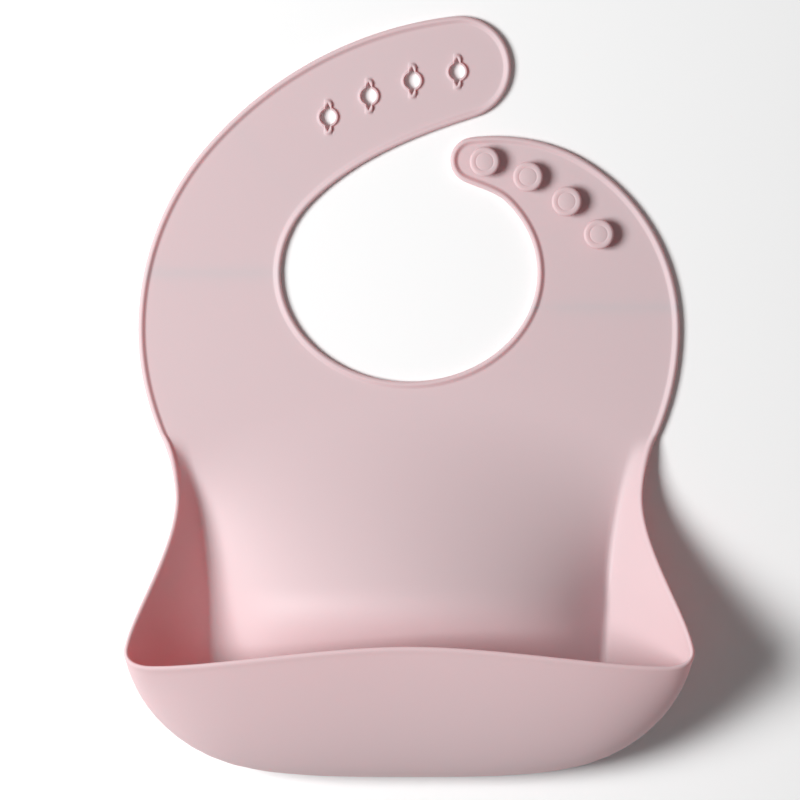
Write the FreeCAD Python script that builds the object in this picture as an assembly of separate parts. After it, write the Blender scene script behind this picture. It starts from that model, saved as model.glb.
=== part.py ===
import FreeCAD, Part
import math
import os

V = FreeCAD.Vector

# A soft silicone feeding bib lying on its back, in millimetres.
# Origin: centre of the neck opening, on the plane of the flat back.
# +X to the right, +Y from the pocket towards the straps, +Z out of the front.

# --- Sheet and edge bead
SHEET = 1.6                  # thickness of the flat yoke and straps
BEAD_WIDTH = 2.4             # raised bead round every free edge
BEAD_HEIGHT = 2.8            # top of that bead above the back
NODE_GAP = 0.3               # clearance between pieces on different bodies
SEAM_GAP = 0.15              # between a plain wall and the rim that moves with it

# --- Neck opening and shoulders
NECK_HALF_WIDTH = 52.2
NECK_HALF_HEIGHT = 44.2
NECK_SPLIT_DEG = 25.0        # how far round the opening each strap's inner edge reaches
SHOULDER_HALF_WIDTH = 110.2
SHOULDER_Y = -23.0           # height of the widest place
SIDE_RADIUS = 107.0          # outline below the shoulder
SIDE_END_DEG = 21.4          # how far that arc turns before the waist

# --- Strap with the slots, from the left shoulder
SHOULDER_RADIUS = 113.5
SLOT_TIP_CENTRE = (20.5, 83.5)
SLOT_TIP_RADIUS = 21.0
SLOT_STRAP_RADIUS = 157.0    # long outer arc between shoulder and tip
SLOT_TIP_TURN_DEG = 17.5     # slope of the inner edge where the round end begins
SLOT_NECK_DEG = 140.0        # place on the neck ellipse where the inner edge leaves it

# --- Strap with the studs, from the right shoulder
STUD_SIDE_RADIUS = 80.5
STUD_SIDE_END_DEG = 60.0
STUD_TIP_CENTRE = (26.2, 45.8)
STUD_TIP_RADIUS = 9.4
STUD_TIP_LOW_DEG = 245.0     # where the round end meets the inner edge
STUD_TIP_HIGH_DEG = 97.0     # and the outer edge
STUD_TIP_TURN_DEG = 155.0    # heading of the inner edge there
STUD_NECK_DEG = 40.0

# --- Fasteners: the studs of one strap press into the slots of the other
FASTENER_COUNT = 4
FASTENER_PITCH = 18.7
STUD_LINE_CENTRE = (12.8, -34.1)
STUD_LINE_RADIUS = 81.3
STUD_LINE_START_DEG = 77.3
SLOT_LINE_CENTRE = (36.9, -51.4)
SLOT_LINE_RADIUS = 134.4
SLOT_LINE_START_DEG = 97.4
STEM_RADIUS = 2.6
CAP_RADIUS = 6.1
CAP_HEIGHT = 2.2
CAP_BEVEL = 0.7
CAP_RING_RADIUS = 3.6        # shallow ring in the top of the cap
CAP_RING_WIDTH = 0.7
CAP_RING_DEPTH = 0.3
SLOT_CLEARANCE = 0.5         # round the stem, and under the cap
SLOT_POINT_REACH = 5.4       # half height of the pointed relief cut
SLOT_POINT_WIDTH = 2.6
COLLAR_WIDTH = 1.1           # raised lip round each slot
COLLAR_LOBE_RADIUS = 1.7     # small tab beyond each point

# --- Places where the soft sheet bends
SLOT_ROOT_Y = 2.0            # lower edge of the bending band of the slotted strap
SLOT_ROOT_BAND = 22.0
SLOT_MID_BACK = 10.0         # from the last slot to the band that bends
SLOT_MID_HEADING_DEG = 41.0  # direction of the strap there
SLOT_MID_BAND = 16.0
STUD_ROOT_Y = -12.0          # lower edge of the bending band of the studded strap
STUD_ROOT_BAND = 18.0

# --- Arched torso panel
CHEST_Y = -50.0              # flat yoke above, arched panel below
ARCH_HEIGHT = 40.0
ARCH_EDGE = 0.3              # share of its fall that is kept for the flanks
ARCH_RUN = 120.0             # length over which the arch rises
ARCH_DIP = 20.0              # how much lower the arch begins at the sides
FLOOR_Y = -182.0             # the panel lies flat again from here down
FLOOR_RUN = 54.0             # length over which it falls to the pocket floor
CREASE_HALF_WIDTH = 80.5     # valley between the panel and a side wall
CREASE_SPREAD = 13.0         # how much wider the valleys lie at the waist
CREASE_POWER = 2.0
WAIST_TOP_Y = -66.0          # where the side walls begin
WAIST_HALF_WIDTH = 95.2
WAIST_Y = -92.0

# --- Pocket
POCKET_WALL = 1.6
POCKET_MOUTH_HALF_WIDTH = 115.0
MOUTH_CORNER_Y = -151.5
MOUTH_CORNER_Z = 47.3
MOUTH_CORNER_DEG = 259.0     # heading of the lip as it leaves the corner
MOUTH_CORNER_PULL = 5.1
SIDE_RIM_DEG = 79.5          # heading of the side rim as it leaves the corner
LIP_DIP_POINT = (-104.0, -159.6)
LIP_DIP_PULL = 7.5           # length over which the lip levels out before its lowest point
LIP_RISE_SHARE = 0.23        # share of the half width over which it leaves that point
LIP_CREST_SHARE = 0.34       # and over which it levels out in the middle
LIP_Y = -151.4
LIP_Z = 55.4
SEAM_START_Y = -156.0
POCKET_BOTTOM_Y = -203.0
SEAM_POWER = 3.83            # squareness of the pocket's lower corners
BELLY = 25.0                 # outward bulge of the front wall
BELLY_START = 0.65           # where it begins: 1 is the mouth corner, 2 the middle of the front
BELLY_FULL = 1.67
CORNER_EASE = 0.21           # how closely the cross-sections gather at the mouth corner
LIP_SPACING_POWER = 2.33
RIM_RISE_POWER = 1.25
LIP_BEAD_EXTRA = 0.3         # how far the rim of the pocket stands out of the wall
SIDE_STATIONS = 13
FRONT_STATIONS = 16
WALL_ROWS = 9
PANEL_COLUMNS = 73
PANEL_ROWS = 31

# --- Working limits
REACH = 4 * SHOULDER_HALF_WIDTH     # larger than the whole bib
PANEL_REACH = 1.08           # the panel's surface runs on a little past its own edge
SLIVER = 0.01                # cubic millimetres: anything smaller is left over from a cut

# Shares of the way round the wall, from the left waist to the right one, and up it
SIDE_WALL_SHARE = 0.145
SIDE_FOLD_SHARE = 0.225
FRONT_LOW_SHARE = 0.30
FRONT_FOLD_SHARE = 0.52


def arc(centre, radius, start_deg, end_deg, count=14):
    """Points along an arc in the plan."""
    points = []
    for index in range(count):
        angle = math.radians(start_deg + (end_deg - start_deg) * index / (count - 1))
        points.append((centre[0] + radius * math.cos(angle), centre[1] + radius * math.sin(angle)))
    return points


def ellipse(start_deg, end_deg, count=20):
    """Points along the edge of the neck opening."""
    points = []
    for index in range(count):
        angle = math.radians(start_deg + (end_deg - start_deg) * index / (count - 1))
        points.append((NECK_HALF_WIDTH * math.cos(angle), NECK_HALF_HEIGHT * math.sin(angle)))
    return points


def bezier(p0, p1, p2, p3, count=12):
    """Points along a cubic curve in two or three dimensions."""
    points = []
    for index in range(count):
        t = index / (count - 1)
        weights = ((1 - t) ** 3, 3 * t * (1 - t) ** 2, 3 * t * t * (1 - t), t ** 3)
        points.append(tuple(sum(w * p[axis] for w, p in zip(weights, (p0, p1, p2, p3)))
                            for axis in range(len(p0))))
    return points


def chain(*runs):
    """Joins runs of points, dropping the repeated point at each join."""
    points = list(runs[0])
    for run in runs[1:]:
        points.extend(run[1:])
    return points


def ahead(point, heading_deg, distance):
    angle = math.radians(heading_deg)
    return (point[0] + distance * math.cos(angle), point[1] + distance * math.sin(angle))


def bearing(start, end):
    return math.degrees(math.atan2(end[1] - start[1], end[0] - start[0]))


def soft_join(start, start_heading, end, end_heading, count=12):
    """Curve that leaves start and meets end along the given headings."""
    reach = math.dist(start, end) / 3.0
    return bezier(start, ahead(start, start_heading, reach),
                  ahead(end, end_heading, -reach), end, count)


def ellipse_heading(angle_deg):
    """Heading of the neck ellipse, travelling anticlockwise."""
    angle = math.radians(angle_deg)
    return bearing((0, 0), (-NECK_HALF_WIDTH * math.sin(angle), NECK_HALF_HEIGHT * math.cos(angle)))


def offset(points, distance):
    """The same open path moved to the left of its direction of travel."""
    moved = []
    last = len(points) - 1
    for index, point in enumerate(points):
        before = points[max(index - 1, 0)]
        after = points[min(index + 1, last)]
        moved.append(ahead(point, bearing(before, after) + 90.0, distance))
    return moved


def spline(points):
    curve = Part.BSplineCurve()
    curve.interpolate([V(*point) if len(point) == 3 else V(point[0], point[1], 0) for point in points])
    return curve.toShape()


def plate(edges, bottom, top):
    face = Part.Face(Part.Wire(edges))
    face.translate(V(0, 0, bottom))
    return face.extrude(V(0, 0, top - bottom))


def ribbon(outer, inner, top):
    """Flat strip between two paths that run side by side."""
    return plate([spline(outer), line(outer[-1], inner[-1]), spline(inner[::-1]), line(inner[0], outer[0])],
                 0.0, top)


def line(start, end):
    return Part.makeLine(V(start[0], start[1], 0), V(end[0], end[1], 0))


def band(point, heading_deg, start, end):
    """Tall block across the strap, from start to end along the heading."""
    zone = Part.makeBox(end - start, 2 * REACH, 2 * REACH, V(start, -REACH, -REACH))
    zone.rotate(V(0, 0, 0), V(0, 0, 1), heading_deg)
    zone.translate(V(point[0], point[1], 0))
    return zone


# --- Outline of the flat sheet

def side_end():
    """Place where the outline under the left shoulder turns into the waist."""
    centre = (-SHOULDER_HALF_WIDTH + SIDE_RADIUS, SHOULDER_Y)
    return ahead(centre, 180.0 + SIDE_END_DEG, SIDE_RADIUS), 180.0 + SIDE_END_DEG - 90.0


def waist_path():
    """Left edge from the end of the side arc, past the waist, to the mouth corner."""
    start, heading = side_end()
    waist = (-WAIST_HALF_WIDTH, WAIST_Y)
    upper = soft_join(start, heading + 180.0, waist, -90.0)
    drop = WAIST_Y - MOUTH_CORNER_Y
    corner = (-POCKET_MOUTH_HALF_WIDTH, MOUTH_CORNER_Y)
    lower = bezier(waist, (waist[0], WAIST_Y - drop / 3), ahead(corner, SIDE_RIM_DEG, drop / 4), corner, 20)
    return chain(upper, lower)


def slot_strap_path():
    """Left side arc, shoulder, long outer arc, round end and inner edge, down to the neck ellipse.

    Travels clockwise round the strap, with the material on its right.
    """
    side_centre = (-SHOULDER_HALF_WIDTH + SIDE_RADIUS, SHOULDER_Y)
    shoulder_centre = (-SHOULDER_HALF_WIDTH + SHOULDER_RADIUS, SHOULDER_Y)
    tip = SLOT_TIP_CENTRE
    spread = math.dist(shoulder_centre, tip)
    reach_a = SLOT_STRAP_RADIUS - SHOULDER_RADIUS
    reach_b = SLOT_STRAP_RADIUS - SLOT_TIP_RADIUS
    along = (reach_a ** 2 - reach_b ** 2 + spread ** 2) / (2 * spread)
    across = math.sqrt(max(reach_a ** 2 - along ** 2, 0.0))
    foot = ahead(shoulder_centre, bearing(shoulder_centre, tip), along)
    long_centre = ahead(foot, bearing(shoulder_centre, tip) - 90.0, across)
    shoulder_turn = bearing(long_centre, shoulder_centre)
    tip_turn = bearing(long_centre, tip)
    inner_start = ahead(tip, SLOT_TIP_TURN_DEG - 90.0, SLOT_TIP_RADIUS)
    inner_end = ellipse(SLOT_NECK_DEG, SLOT_NECK_DEG + 1, 2)[0]
    return chain(
        arc(side_centre, SIDE_RADIUS, 180.0 + SIDE_END_DEG, 180.0, 10),
        arc(shoulder_centre, SHOULDER_RADIUS, 180.0, shoulder_turn, 14),
        arc(long_centre, SLOT_STRAP_RADIUS, shoulder_turn, tip_turn, 14),
        arc(tip, SLOT_TIP_RADIUS, tip_turn, SLOT_TIP_TURN_DEG - 90.0, 20),
        soft_join(inner_start, SLOT_TIP_TURN_DEG + 180.0, inner_end, ellipse_heading(SLOT_NECK_DEG), 16),
        ellipse(SLOT_NECK_DEG, 180.0 + NECK_SPLIT_DEG, 14))


def stud_strap_path():
    """Neck ellipse, inner edge, round end, outer edge and side arc of the right side.

    Travels clockwise round the strap as well.
    """
    tip = STUD_TIP_CENTRE
    outer_centre = (SHOULDER_HALF_WIDTH - STUD_SIDE_RADIUS, SHOULDER_Y)
    side_centre = (SHOULDER_HALF_WIDTH - SIDE_RADIUS, SHOULDER_Y)
    neck_point = ellipse(STUD_NECK_DEG, STUD_NECK_DEG + 1, 2)[0]
    tip_low = ahead(tip, STUD_TIP_LOW_DEG, STUD_TIP_RADIUS)
    tip_high = ahead(tip, STUD_TIP_HIGH_DEG, STUD_TIP_RADIUS)
    outer_point = ahead(outer_centre, STUD_SIDE_END_DEG, STUD_SIDE_RADIUS)
    return chain(
        ellipse(-NECK_SPLIT_DEG, STUD_NECK_DEG, 14),
        soft_join(neck_point, ellipse_heading(STUD_NECK_DEG), tip_low, STUD_TIP_TURN_DEG, 10),
        arc(tip, STUD_TIP_RADIUS, STUD_TIP_LOW_DEG, STUD_TIP_HIGH_DEG, 16),
        soft_join(tip_high, STUD_TIP_HIGH_DEG - 90.0, outer_point, STUD_SIDE_END_DEG - 90.0, 12),
        arc(outer_centre, STUD_SIDE_RADIUS, STUD_SIDE_END_DEG, 0.0, 16),
        arc(side_centre, SIDE_RADIUS, 0.0, -SIDE_END_DEG, 10))


def neck_bottom_path():
    """Lower edge of the neck opening, from its left side to its right side."""
    return ellipse(180.0 + NECK_SPLIT_DEG, 360.0 - NECK_SPLIT_DEG, 32)


# --- Torso panel and pocket wall

def smooth(value):
    value = min(max(value, 0.0), 1.0)
    return value * value * (3 - 2 * value)


def crease_half(y):
    """Half distance between the two valleys beside the arched panel."""
    rise = max(0.0, (y - SEAM_START_Y) / (WAIST_TOP_Y - SEAM_START_Y))
    return CREASE_HALF_WIDTH + CREASE_SPREAD * rise ** CREASE_POWER


def arch(x, y):
    """Height of the underside of the panel above the table."""
    start = CHEST_Y - ARCH_DIP * (x / WAIST_HALF_WIDTH) ** 2
    rise = smooth((start - y) / ARCH_RUN)
    fall = smooth((y - FLOOR_Y) / FLOOR_RUN)
    share = min(abs(x) / (crease_half(y) - POCKET_WALL - NODE_GAP), PANEL_REACH)
    across = 1 - (1 - ARCH_EDGE) * share ** 2 - ARCH_EDGE * share ** 6
    return ARCH_HEIGHT * rise * fall * across


def at_share(points, share):
    """Point at a share of the length of a polyline."""
    lengths = [math.dist(a, b) for a, b in zip(points, points[1:])]
    left = share * sum(lengths)
    for index, length in enumerate(lengths):
        if left <= length or index == len(lengths) - 1:
            t = min(left / length, 1.0)
            return tuple(a + (b - a) * t for a, b in zip(points[index], points[index + 1]))
        left -= length


def arch_top(x, y):
    return arch(x, y) + SHEET


def x_at(points, y):
    """X of a path that runs steadily down, at a given Y."""
    for a, b in zip(points, points[1:]):
        if b[1] <= y <= a[1]:
            return a[0] + (b[0] - a[0]) * (a[1] - y) / (a[1] - b[1])
    return points[-1][0]


def belly_at(progress):
    return BELLY * smooth((progress - BELLY_START) / (BELLY_FULL - BELLY_START))


def wall_sections():
    """Cross-sections of the outside of the left half of the pocket wall.

    Each is four control points, from the seam on the table up to the rim.
    """
    edge = waist_path()
    corner = (-POCKET_MOUTH_HALF_WIDTH, MOUTH_CORNER_Y)
    dip = LIP_DIP_POINT
    lip = chain(bezier(corner, ahead(corner, MOUTH_CORNER_DEG, MOUTH_CORNER_PULL),
                       (dip[0] - LIP_DIP_PULL, dip[1]), dip, 14),
                bezier(dip, (dip[0] * (1 - LIP_RISE_SHARE), dip[1]),
                       (dip[0] * LIP_CREST_SHARE, LIP_Y), (0.0, LIP_Y), 24))
    sections = []
    for index in range(SIDE_STATIONS):
        share = index / (SIDE_STATIONS - 1)
        seam_y = WAIST_TOP_Y + (SEAM_START_Y - WAIST_TOP_Y) * share
        rim_share = CORNER_EASE * share + (1 - CORNER_EASE) * (1 - (1 - share) ** 2)
        rim_y = WAIST_TOP_Y + (MOUTH_CORNER_Y - WAIST_TOP_Y) * rim_share
        seam = (-crease_half(seam_y), seam_y, 0.0)
        rim = (x_at(edge, rim_y), rim_y, SHEET + (MOUTH_CORNER_Z - SHEET) * rim_share ** RIM_RISE_POWER)
        sections.append((seam, rim, (-1.0, 0.0), belly_at(share)))
    for index in range(1, FRONT_STATIONS + 1):
        share = index / FRONT_STATIONS
        turn = share * math.pi / 2
        seam = (-CREASE_HALF_WIDTH * max(math.cos(turn), 0.0) ** (2 / SEAM_POWER),
                SEAM_START_Y + (POCKET_BOTTOM_Y - SEAM_START_Y) * math.sin(turn) ** (2 / SEAM_POWER), 0.0)
        lip_share = CORNER_EASE * share + (1 - CORNER_EASE) * share ** LIP_SPACING_POWER
        x, y = at_share(lip, lip_share)
        rim = (x, y, MOUTH_CORNER_Z + (LIP_Z - MOUTH_CORNER_Z) * math.sin(turn))
        sections.append((seam, rim, (-math.cos(turn), -math.sin(turn)), belly_at(1 + share)))
    return sections


def wall_surface():
    """Outside of the whole pocket wall, from the left waist round to the right one."""
    left = []
    for seam, rim, out, belly in wall_sections():
        controls = []
        for share in (1 / 3, 2 / 3):
            controls.append(tuple(s + (r - s) * share + belly * o
                                  for s, r, o in zip(seam, rim, (out[0], out[1], 0.0))))
        left.append(bezier(seam, controls[0], controls[1], rim, WALL_ROWS))
    right = [[(-x, y, z) for x, y, z in row] for row in reversed(left[:-1])]
    surface = Part.BSplineSurface()
    surface.interpolate([[V(*point) for point in row] for row in left + right])
    return surface


WALL = wall_surface()
U0, U1, V0, V1 = WALL.bounds()


def wall_point(around, up, outward):
    """Point at shares of the way round and up the wall, moved outward from its outside."""
    u = U0 + (U1 - U0) * around
    v = V0 + (V1 - V0) * up
    return WALL.value(u, v) + WALL.normal(u, v) * outward


def block(x, y):
    """Tall box between two X and two Y values."""
    return Part.makeBox(x[1] - x[0], y[1] - y[0], 2 * REACH, V(x[0], y[0], -REACH))


def skin(height_at, x, y, columns, rows):
    """Smooth surface over a rectangle of the plan."""
    grid = []
    for i in range(columns):
        across = x[0] + (x[1] - x[0]) * i / (columns - 1)
        column = []
        for j in range(rows):
            along = y[0] + (y[1] - y[0]) * j / (rows - 1)
            column.append(V(across, along, height_at(across, along)))
        grid.append(column)
    surface = Part.BSplineSurface()
    surface.interpolate(grid)
    return surface


def thick(lower, upper):
    """Closed solid between two surfaces whose borders run side by side."""
    borders = []
    for surface in (lower, upper):
        a, b, c, d = surface.bounds()
        borders.append([surface.uIso(a), surface.uIso(b), surface.vIso(c), surface.vIso(d)])
    faces = [lower.toShape(), upper.toShape()]
    for first, second in zip(*borders):
        faces.append(Part.makeRuledSurface(first.toShape(), second.toShape()))
    shell = Part.makeShell(faces)
    shell.sewShape()
    solid = Part.makeSolid(shell)
    if solid.Volume < 0:
        solid.reverse()
    return solid


def wall_height(around):
    """Length of the wall from the seam up to the rim, at a share of the way round."""
    steps = [wall_point(around, index / 8, 0.0) for index in range(9)]
    return sum(a.distanceToPoint(b) for a, b in zip(steps, steps[1:]))


def under_bead(around):
    """Share of the way up the wall at which its rim bead begins."""
    return 1.0 - BEAD_WIDTH / wall_height(around)


def wall_top(around):
    """Share of the way up at which the plain wall ends, just short of the rim bead."""
    return 1.0 - (BEAD_WIDTH + SEAM_GAP) / wall_height(around)


def wall_patch(around, low, high, outer, inner, columns=15, rows=7):
    """Closed solid of part of the wall, between two offsets from its outside.

    low and high give the share of the way up at which it starts and ends.
    """
    skins = []
    for outward in (outer, inner):
        grid = []
        for i in range(columns):
            a = around[0] + (around[1] - around[0]) * i / (columns - 1)
            grid.append([wall_point(a, low(a) + (high(a) - low(a)) * j / (rows - 1), outward)
                         for j in range(rows)])
        surface = Part.BSplineSurface()
        surface.interpolate(grid)
        skins.append(surface)
    return thick(*skins)


def mirrored(shape):
    return shape.mirror(V(0, 0, 0), V(1, 0, 0))


def save(name, shape):
    solids = [solid for solid in shape.Solids if solid.Volume > SLIVER]
    shape = solids[0] if len(solids) == 1 else Part.makeCompound(solids)
    shape.exportStep("parts/" + name + ".step")
    box = shape.BoundBox
    print("%-24s %2d solids  valid %s  volume %8.1f  X %7.1f %7.1f  Y %7.1f %7.1f  Z %6.2f %6.2f" % (
        name, len(solids), shape.isValid(), shape.Volume,
        box.XMin, box.XMax, box.YMin, box.YMax, box.ZMin, box.ZMax))


# --- Yoke and straps

def upper_waist():
    """Left edge between the end of the side arc and the start of the side wall."""
    points = [point for point in waist_path() if point[1] > WAIST_TOP_Y + NODE_GAP]
    points.append((x_at(waist_path(), WAIST_TOP_Y + NODE_GAP), WAIST_TOP_Y + NODE_GAP))
    return points


def flip(points):
    """Mirror image of a path, travelled backwards so that its material stays on the same side."""
    return [(-x, y) for x, y in reversed(points)]


def slot_side():
    return chain(upper_waist()[::-1], slot_strap_path())


def stud_side():
    return chain(stud_strap_path(), flip(upper_waist()[::-1]))


def edge_paths():
    """Outline of the flat sheet in three runs, each with the inner border of its bead."""
    runs = [slot_side(), neck_bottom_path(), stud_side()]
    outline = chain(*runs)
    border = offset(outline, -BEAD_WIDTH)
    pairs = []
    start = 0
    for run in runs:
        end = start + len(run)
        pairs.append((outline[start:end], border[start:end]))
        start = end - 1
    return pairs


def build_sheet():
    """Yoke, neckline and side beads, and both straps cut at their bending bands."""
    (left, left_in), (neck, neck_in), (right, right_in) = edge_paths()
    left_bead = ribbon(left, left_in, BEAD_HEIGHT)
    right_bead = ribbon(right, right_in, BEAD_HEIGHT)
    neck_bead = ribbon(neck, neck_in, BEAD_HEIGHT)
    slot_plate = plate([spline(left), line(left[-1], left[0])], 0.0, SHEET)
    slot_inside = plate([spline(left_in), line(left_in[-1], left_in[0])], 0.0, SHEET)
    stud_plate = plate([spline(right), line(right[-1], right[0])], 0.0, SHEET)
    stud_inside = plate([spline(right_in), line(right_in[-1], right_in[0])], 0.0, SHEET)
    above_slot_root = block((-REACH, 0), (SLOT_ROOT_Y, REACH))
    above_stud_root = block((0, REACH), (STUD_ROOT_Y, REACH))

    yoke = plate([spline(left_in), spline(neck_in), spline(right_in), line(right_in[-1], left_in[0])],
                 0.0, SHEET)
    yoke = yoke.cut(above_slot_root).cut(above_stud_root).cut(block((-REACH, REACH), (-REACH, CHEST_Y)))
    save("yoke_panel", yoke)
    middle = (NECK_HALF_WIDTH + SHOULDER_HALF_WIDTH) / 2
    neck_left = left_bead.common(block((-middle, 0), (-REACH, SLOT_ROOT_Y)))
    neck_right = right_bead.common(block((0, middle), (-REACH, STUD_ROOT_Y)))
    save("neckline_bead", neck_bead.fuse([neck_left, neck_right]))
    save("side_bead_left", left_bead.common(block((-REACH, -middle), (-REACH, SLOT_ROOT_Y))))
    save("side_bead_right", right_bead.common(block((middle, REACH), (-REACH, STUD_ROOT_Y))))

    mid_point = ahead(slot_places()[-1], SLOT_MID_HEADING_DEG, -SLOT_MID_BACK - SLOT_MID_BAND / 2)
    mid = (mid_point, SLOT_MID_HEADING_DEG)
    bent_y = SLOT_ROOT_Y + SLOT_ROOT_BAND
    root_zone = block((-REACH, 0), (SLOT_ROOT_Y, bent_y))
    shoulder_zone = block((-REACH, REACH), (bent_y + NODE_GAP, REACH)).common(
        band(*mid, -REACH, -SLOT_MID_BAND / 2))
    mid_zone = band(*mid, -SLOT_MID_BAND / 2, SLOT_MID_BAND / 2 - NODE_GAP)
    end_zone = band(*mid, SLOT_MID_BAND / 2, REACH)
    save("slot_strap_root_band", slot_plate.fuse(left_bead).common(root_zone))
    save("slot_strap_shoulder", slot_inside.common(shoulder_zone))
    save("slot_strap_shoulder_bead", left_bead.common(shoulder_zone))
    save("slot_strap_mid_band", slot_plate.fuse(left_bead).common(mid_zone))
    slots = [slot_cut(place) for place in slot_places()]
    collars = [slot_collar(place) for place in slot_places()]
    save("slot_strap_end", slot_inside.common(end_zone).cut(Part.makeCompound(slots + collars)))
    save("slot_strap_end_bead", left_bead.common(end_zone))
    for number, (collar, slot) in enumerate(zip(collars, slots), 1):
        save("slot_collar_%d" % number, collar.cut(slot))

    bent_y = STUD_ROOT_Y + STUD_ROOT_BAND
    root_zone = block((0, REACH), (STUD_ROOT_Y, bent_y))
    strap_zone = block((0, REACH), (bent_y + NODE_GAP, REACH))
    save("stud_strap_root_band", stud_plate.fuse(right_bead).common(root_zone))
    save("stud_strap", stud_inside.common(strap_zone))
    save("stud_strap_bead", right_bead.common(strap_zone))
    for number, place in enumerate(stud_places(), 1):
        save("stud_%d" % number, stud(place))


# --- Fasteners

def line_places(centre, radius, start_deg, turn):
    """Evenly spaced places along an arc."""
    step = turn * math.degrees(FASTENER_PITCH / radius)
    return [ahead(centre, start_deg + step * index, radius) for index in range(FASTENER_COUNT)]


def slot_places():
    return line_places(SLOT_LINE_CENTRE, SLOT_LINE_RADIUS, SLOT_LINE_START_DEG, 1)


def stud_places():
    return line_places(STUD_LINE_CENTRE, STUD_LINE_RADIUS, STUD_LINE_START_DEG, -1)


def slot_profile(place, radius, reach, half_width, lobe, bottom, top):
    """Round hole with a point above and below it, or the collar that follows that shape."""
    x, y = place
    height = top - bottom
    solid = Part.makeCylinder(radius, height, V(x, y, bottom))
    corners = [V(x, y - reach, bottom), V(x + half_width, y, bottom),
               V(x, y + reach, bottom), V(x - half_width, y, bottom)]
    point = Part.Face(Part.makePolygon(corners + corners[:1])).extrude(V(0, 0, height))
    solid = solid.fuse(point)
    if lobe > 0:
        for side in (-1, 1):
            solid = solid.fuse(Part.makeCylinder(lobe, height, V(x, y + side * (reach - lobe), bottom)))
    return solid.removeSplitter()


def slot_cut(place):
    return slot_profile(place, STEM_RADIUS + SLOT_CLEARANCE, SLOT_POINT_REACH, SLOT_POINT_WIDTH,
                        0.0, -SHEET, 2 * BEAD_HEIGHT)


def slot_collar(place):
    return slot_profile(place, STEM_RADIUS + SLOT_CLEARANCE + COLLAR_WIDTH,
                        SLOT_POINT_REACH + COLLAR_LOBE_RADIUS, SLOT_POINT_WIDTH + COLLAR_WIDTH,
                        COLLAR_LOBE_RADIUS, 0.0, BEAD_HEIGHT)


def stud(place):
    """Stem as long as the collar it passes through, under a wider bevelled cap."""
    cap_bottom = SHEET + BEAD_HEIGHT + SLOT_CLEARANCE
    cap_top = cap_bottom + CAP_HEIGHT
    ring_in = CAP_RING_RADIUS - CAP_RING_WIDTH / 2
    ring_out = CAP_RING_RADIUS + CAP_RING_WIDTH / 2
    profile = [(0.0, SHEET), (STEM_RADIUS, SHEET), (STEM_RADIUS, cap_bottom), (CAP_RADIUS, cap_bottom),
               (CAP_RADIUS, cap_top - CAP_BEVEL), (CAP_RADIUS - CAP_BEVEL, cap_top),
               (ring_out, cap_top), (ring_out, cap_top - CAP_RING_DEPTH),
               (ring_in, cap_top - CAP_RING_DEPTH), (ring_in, cap_top), (0.0, cap_top)]
    outline = Part.makePolygon([V(r, 0, z) for r, z in profile + profile[:1]])
    solid = Part.Face(outline).revolve(V(0, 0, 0), V(0, 0, 1), 360)
    solid.translate(V(place[0], place[1], 0))
    return solid


# --- Torso panel and pocket

def torso_outline():
    """Left half of the plan of the arched panel: along the bead, then along the pocket seam."""
    _, border = edge_paths()[0]
    falling = [point for point in border if point[1] < SHOULDER_Y][::-1]
    side = [(x_at(falling, CHEST_Y), CHEST_Y)] + [point for point in falling if point[1] < CHEST_Y]
    inset = POCKET_WALL + NODE_GAP
    seam = offset([section[0][:2] for section in wall_sections()], inset)
    seam = [point for point in seam if point[1] < WAIST_TOP_Y and point[0] < 0]
    return side, [(seam[0][0], side[-1][1])] + seam + [(0.0, POCKET_BOTTOM_Y + inset)]


def build_torso():
    side, seam = torso_outline()
    far_side = [(-x, y) for x, y in side]
    seam = seam + [(-x, y) for x, y in reversed(seam[:-1])]
    trim = plate([line(far_side[0], side[0]), spline(side), line(side[-1], seam[0]), spline(seam),
                  line(seam[-1], far_side[-1]), spline(far_side[::-1])], -REACH, REACH)
    x = (-SHOULDER_HALF_WIDTH - BEAD_WIDTH, SHOULDER_HALF_WIDTH + BEAD_WIDTH)
    y = (POCKET_BOTTOM_Y - BEAD_WIDTH, CHEST_Y + BEAD_WIDTH)
    slab = thick(skin(arch, x, y, PANEL_COLUMNS, PANEL_ROWS), skin(arch_top, x, y, PANEL_COLUMNS, PANEL_ROWS))
    save("torso_panel", slab.common(trim))


def build_pocket():
    """Side walls, front wall and their rim bead, each cut at the bands that fold."""
    around_gap = NODE_GAP / WALL.vIso(V0).toShape().Length
    up_gap = NODE_GAP / wall_height(0.5)
    skin_depth = (0.0, -POCKET_WALL)
    bead_depth = (LIP_BEAD_EXTRA, -POCKET_WALL - LIP_BEAD_EXTRA)
    side = (0.0, SIDE_WALL_SHARE)
    fold = (SIDE_WALL_SHARE, SIDE_FOLD_SHARE - around_gap)
    front = (SIDE_FOLD_SHARE, 1.0 - SIDE_FOLD_SHARE)

    def seam(around):
        return 0.0

    def rim(around):
        return 1.0

    def low_line(around):
        return FRONT_LOW_SHARE

    def fold_line(around):
        return FRONT_FOLD_SHARE

    def below_fold_line(around):
        return FRONT_FOLD_SHARE - up_gap

    for name, span in (("side_wall", side), ("side_fold", fold)):
        wall = wall_patch(span, seam, wall_top, *skin_depth)
        bead = wall_patch(span, under_bead, rim, *bead_depth, rows=3)
        save(name + "_left", wall)
        save(name + "_right", mirrored(wall))
        save(name + "_bead_left", bead)
        save(name + "_bead_right", mirrored(bead))
    save("pocket_base", wall_patch(front, seam, low_line, *skin_depth, columns=61))
    save("front_fold", wall_patch(front, low_line, below_fold_line, *skin_depth, columns=61))
    save("pocket_front", wall_patch(front, fold_line, wall_top, *skin_depth, columns=61))
    save("lip_bead", wall_patch(front, under_bead, rim, *bead_depth, columns=61, rows=3))


def build():
    os.makedirs("parts", exist_ok=True)
    build_sheet()
    build_torso()
    build_pocket()


build()
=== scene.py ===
import math

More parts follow.
